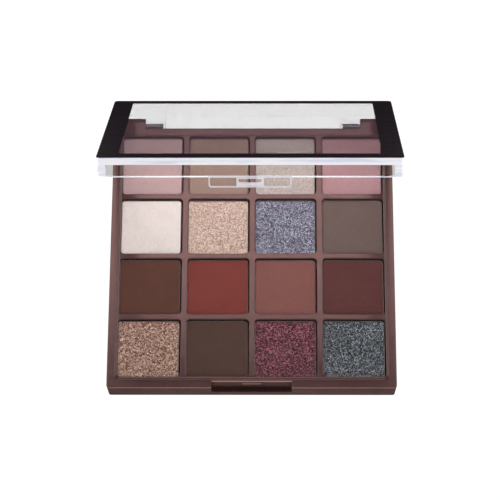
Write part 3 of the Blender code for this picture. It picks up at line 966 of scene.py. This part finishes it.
def divide_coats(lid, painted_glow_coat, back_coat):
    """Give the lid's bright edges the painted glow coat, and its back wall and lugs the straight-through one.
    """
    mesh_data = bmesh.new()
    mesh_data.from_mesh(lid.data)
    planes = (
        ((-PAINTED_GLOW_INNER, 0, 0), (1, 0, 0)),
        ((PAINTED_GLOW_INNER, 0, 0), (1, 0, 0)),
        ((0, 0, LID_TOP - PAINTED_GLOW_BAND), (0, 0, 1)),
    )
    for place, facing in planes:
        parts = mesh_data.verts[:] + mesh_data.edges[:] + mesh_data.faces[:]
        bmesh.ops.bisect_plane(mesh_data, geom=parts, plane_co=place, plane_no=facing)
    back = LID_BACK - LID_WALL - LID_INNER_RADIUS - SLACK / 2
    for face in mesh_data.faces:
        x, y, z = face.calc_center_median()
        facing_front = face.normal.y < -0.05 and y < LID_FRONT + LID_CORNER
        in_band = z > LID_TOP - PAINTED_GLOW_BAND or abs(x) > PAINTED_GLOW_INNER
        rim_height = LID_RIM - SLACK < z < LID_RIM + RIM_RADIUS
        on_rim = rim_height and y < LID_FRONT + LID_WALL and face.normal.y < 0.2
        on_tab = z < LID_RIM and y < HOOK_TIP and abs(face.normal.y) < 0.5
        if (facing_front and in_band) or on_rim or on_tab:
            face.material_index = PAINTED_LIGHT_INDEX
        elif y > back and z < LID_TOP - LID_PLATE:
            face.material_index = BACK_INDEX
    mesh_data.to_mesh(lid.data)
    mesh_data.free()
    lid.data.materials.append(painted_glow_coat)
    lid.data.materials.append(back_coat)


def frame_plate(name, outer, inner, coat):
    """A thin plate on the lid's front face between two outlines of the same number of (x, z) points."""
    near = LID_FRONT - LINE_LIFT
    far = LID_FRONT + LINE_LIFT
    ring_list = []
    for outline, y in ((outer, near), (outer, far), (inner, far), (inner, near)):
        ring_list.append([(x, y, z) for x, z in outline])
    made = turned(name, ring_list, coat, closed=True)
    swing_open(made)
    place_piece(made, "lid", "lid")


def paint_tab_glow(coat):
    """Painted glow: the tab's bright outline, and a brighter block where the hook stands behind it."""
    outer = tongue_outline(TAB_HALF, TAB_BOTTOM, LID_RIM + TAB_LINE, TAB_CORNER)
    low = TAB_BOTTOM + TAB_LINE
    inner = tongue_outline(TAB_HALF - TAB_LINE, low, TAB_LINE_TOP, TAB_CORNER - TAB_LINE)
    frame_plate("tab_painted_outline", outer, inner, coat)
    outer = tongue_outline(HOOK_HALF, low, BLOCK_TOP, BLOCK_CORNER)
    inner = tongue_outline(SLOT_HALF, SLOT_LOW, SLOT_HIGH, SLOT_CORNER)
    frame_plate("hook_painted_glow", outer, inner, coat)


def make_lid(coat, painted_glow_coat, tab_glow_coat, back_coat):
    """The clear cover with its lugs, snap tab and hook."""
    top = fillet(LID_EDGE_RADIUS, LID_TOP - LID_EDGE_RADIUS, LID_EDGE_RADIUS, 90, 180)
    rim = fillet(RIM_RADIUS, LID_RIM + RIM_RADIUS, RIM_RADIUS, 180, 270)
    inner_edge = fillet(LID_WALL - RIM_RADIUS, LID_RIM + RIM_RADIUS, RIM_RADIUS, 270, 360)
    ceiling = LID_TOP - LID_PLATE
    inner = fillet(LID_WALL + LID_INNER_RADIUS, ceiling - LID_INNER_RADIUS, LID_INNER_RADIUS, 180, 90)
    profile = top + rim + inner_edge + inner
    lid = turned("lid_shell", rings(CASE_HALF_X, LID_HALF_Y, LID_CORNER, profile, LID_CENTRE), coat)
    cut(lid, both_sides("lugs", lug_outline(), LUG_INNER, LUG_OUTER), "UNION")
    tab = tongue_outline(TAB_HALF, TAB_BOTTOM, LID_RIM + 2 * TAB_THICKNESS, TAB_CORNER)
    cut(lid, prism("tab", tab, (LID_FRONT, LID_FRONT + TAB_THICKNESS), "y"), "UNION")
    cut(lid, prism("hook", hook_outline(), (-HOOK_HALF, HOOK_HALF), "x"), "UNION")
    hole = circle((HINGE.y, HINGE.z), HOLE_RADIUS)
    reach = EAR_INNER - LUG_HOLE_DEPTH
    cut(lid, both_sides("lug_holes", hole, reach, EAR_INNER + BITE), "DIFFERENCE")
    divide_coats(lid, painted_glow_coat, back_coat)
    soften(lid, EDGE_RADIUS)
    swing_open(lid)
    place_piece(lid, "lid", "lid")
    paint_tab_glow(tab_glow_coat)


def make_border(coat):
    """The opaque printed frame round the lid's window, carried over the lid's rounded top edge."""
    low = LID_TOP + BORDER_LIFT
    high = low + BORDER_THICKNESS
    under = fillet(LID_EDGE_RADIUS, LID_TOP - LID_EDGE_RADIUS, LID_EDGE_RADIUS + BORDER_LIFT, 90, 165)
    over = fillet(LID_EDGE_RADIUS, LID_TOP - LID_EDGE_RADIUS, LID_EDGE_RADIUS + high - LID_TOP, 165, 90)
    outer = rings(CASE_HALF_X, LID_HALF_Y, LID_CORNER, under + over, LID_CENTRE)
    falling = [(0.0, high), (0.0, low)]
    window = rings(CASE_HALF_X - BORDER_SIDE, LID_HALF_Y - BORDER_END, WINDOW_CORNER, falling, LID_CENTRE)
    border = turned("printed_border", outer + window, coat, closed=True)
    swing_open(border)
    place_piece(border, "lid", "lid_border")


# ---------------------------------------------------------------- studio

def make_floor():
    """A plain floor whose glow depends on the kind of ray that meets it.

    The camera sees it white. Rays that have passed through the lid find it grey in front of the hinge and
    bright behind it. Glossy surfaces mirror it dimly in front, not at all behind and brightly at the sides.
    Matt surfaces get the most light from it.
    """
    made = Nodes("floor")
    path = made.add("ShaderNodeLightPath")
    place = made.add("ShaderNodeSeparateXYZ")
    made.link(made.place, place.inputs["Vector"])
    behind = made.spread(place.outputs["Y"], 0.0, 1.0, *FLOOR_BEHIND)
    beside = made.spread(made.math("ABSOLUTE", place.outputs["X"]), 0.0, 1.0, *FLOOR_BESIDE)
    mirrored = made.math("GREATER_THAN", path.outputs["Glossy Depth"], 0.5)
    passed = made.math("GREATER_THAN", path.outputs["Transmission Depth"], 0.5)
    glow = made.spread(made.math("MULTIPLY", passed, behind), 0.5, 1.85, 0.0, 1.0)
    glow = made.choose(path.outputs["Is Camera Ray"], glow, 1.0)
    glow = made.choose(path.outputs["Is Diffuse Ray"], glow, 3.2)
    reflected = made.choose(beside, made.spread(behind, 0.06, 0.0, 0.0, 1.0), 0.8)
    glow = made.choose(mirrored, glow, reflected)
    made.drive("Base Color", made.mix(mirrored, linear((100, 100, 100)), linear((66, 48, 58))))
    made.drive("Emission Strength", glow)
    made.set(Roughness=0.9, Specular_IOR_Level=0.0, Emission_Color=(*WHITE, 1.0))
    mesh_data = bmesh.new()
    bmesh.ops.create_grid(mesh_data, x_segments=1, y_segments=1, size=FLOOR_SIZE)
    floor = add_object("floor", mesh_data, made.material)
    floor.location.z = -0.01 * MM


def add_lamp(name, place, size, watts, colour=WHITE):
    """A soft box that faces the palette."""
    lamp = bpy.data.lights.new(name, "AREA")
    lamp.shape = "RECTANGLE"
    lamp.size, lamp.size_y = size
    lamp.energy = watts
    lamp.color = colour
    made = bpy.data.objects.new(name, lamp)
    made.location = place
    made.rotation_euler = (LAMP_TARGET - Vector(place)).to_track_quat("-Z", "Y").to_euler()
    bpy.context.scene.collection.objects.link(made)


def make_studio():
    """A dim room with a key lamp behind the palette, one in front and one at each side."""
    world = bpy.data.worlds.new("studio")
    bpy.context.scene.world = world
    world.use_nodes = True
    background = world.node_tree.nodes["Background"]
    background.inputs["Color"].default_value = (*WHITE, 1.0)
    background.inputs["Strength"].default_value = ROOM_GLOW
    add_lamp("key_behind", (0.0, 0.732, 0.951), (1.0, 0.6), 9.2)
    add_lamp("front", (0.0, -1.25, 0.5), (1.2, 0.4), 9.8)
    add_lamp("side_left", (-0.85, 0.48, 0.55), (0.4, 0.9), 4.6, SIDE_TINT)
    add_lamp("side_right", (0.85, 0.48, 0.55), (0.4, 0.9), 4.6, SIDE_TINT)
    bpy.context.scene.view_settings.view_transform = "Standard"


def make_camera():
    """The camera looks down at the tray from the user's side."""
    camera = bpy.data.cameras.new("camera")
    camera.sensor_width = CAMERA_SENSOR
    camera.lens = CAMERA_LENS
    camera.clip_start = 10 * MM
    made = bpy.data.objects.new("camera", camera)
    bpy.context.scene.collection.objects.link(made)
    across = cos(CAMERA_ELEVATION)
    forward = Vector((sin(CAMERA_YAW) * across, cos(CAMERA_YAW) * across, -sin(CAMERA_ELEVATION)))
    level = Vector((cos(CAMERA_YAW), -sin(CAMERA_YAW), 0.0))
    upright = level.cross(forward)
    right = cos(CAMERA_ROLL) * level + sin(CAMERA_ROLL) * upright
    up = cos(CAMERA_ROLL) * upright - sin(CAMERA_ROLL) * level
    place = Vector((0.0, 0.0, TRAY_TOP)) - CAMERA_DISTANCE * forward + CAMERA_RIGHT * right + CAMERA_UP * up
    made.matrix_world = Matrix((
        (right.x, up.x, -forward.x, place.x),
        (right.y, up.y, -forward.y, place.y),
        (right.z, up.z, -forward.z, place.z),
        (0.0, 0.0, 0.0, 1.0),
    ))
    bpy.context.scene.camera = made


# ---------------------------------------------------------------- palette

make_camera()
make_studio()
make_floor()
case_plastic = moulded_plastic("case_plastic", (68, 48, 46), 0.15)
# A lighter brown for the case's painted edge highlights
case_painted_highlight = moulded_plastic("case_painted_highlight", (121, 86, 80), 0.3)
make_case(case_plastic, case_painted_highlight)
make_tray(moulded_plastic("tray_plastic", (70, 49, 48), 0.15))
make_pins(bright_metal("pin_steel", (150, 134, 142), 0.5))
make_pans(bright_metal("pan_tin", (150, 140, 136), 0.45))
plastic = clear_plastic()
# Emitting coats: painted glow on the lid's front band, rims and tab, and on the tab's outline
lid_painted_glow = painted_glow_plastic("painted_glow_plastic", 0.04, 0.0)
tab_painted_glow = painted_glow_plastic("painted_glow_tab_plastic", 0.08, 0.4)
make_lid(plastic, lid_painted_glow, tab_painted_glow, clear_back())
make_border(border_print())
glue = cloudy_glue()
for row, column, _, _ in well_centres():
    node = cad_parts[f"glue_row{row + 1}_col{column + 1}"]
    for slot in node.material_slots:
        slot.material = glue
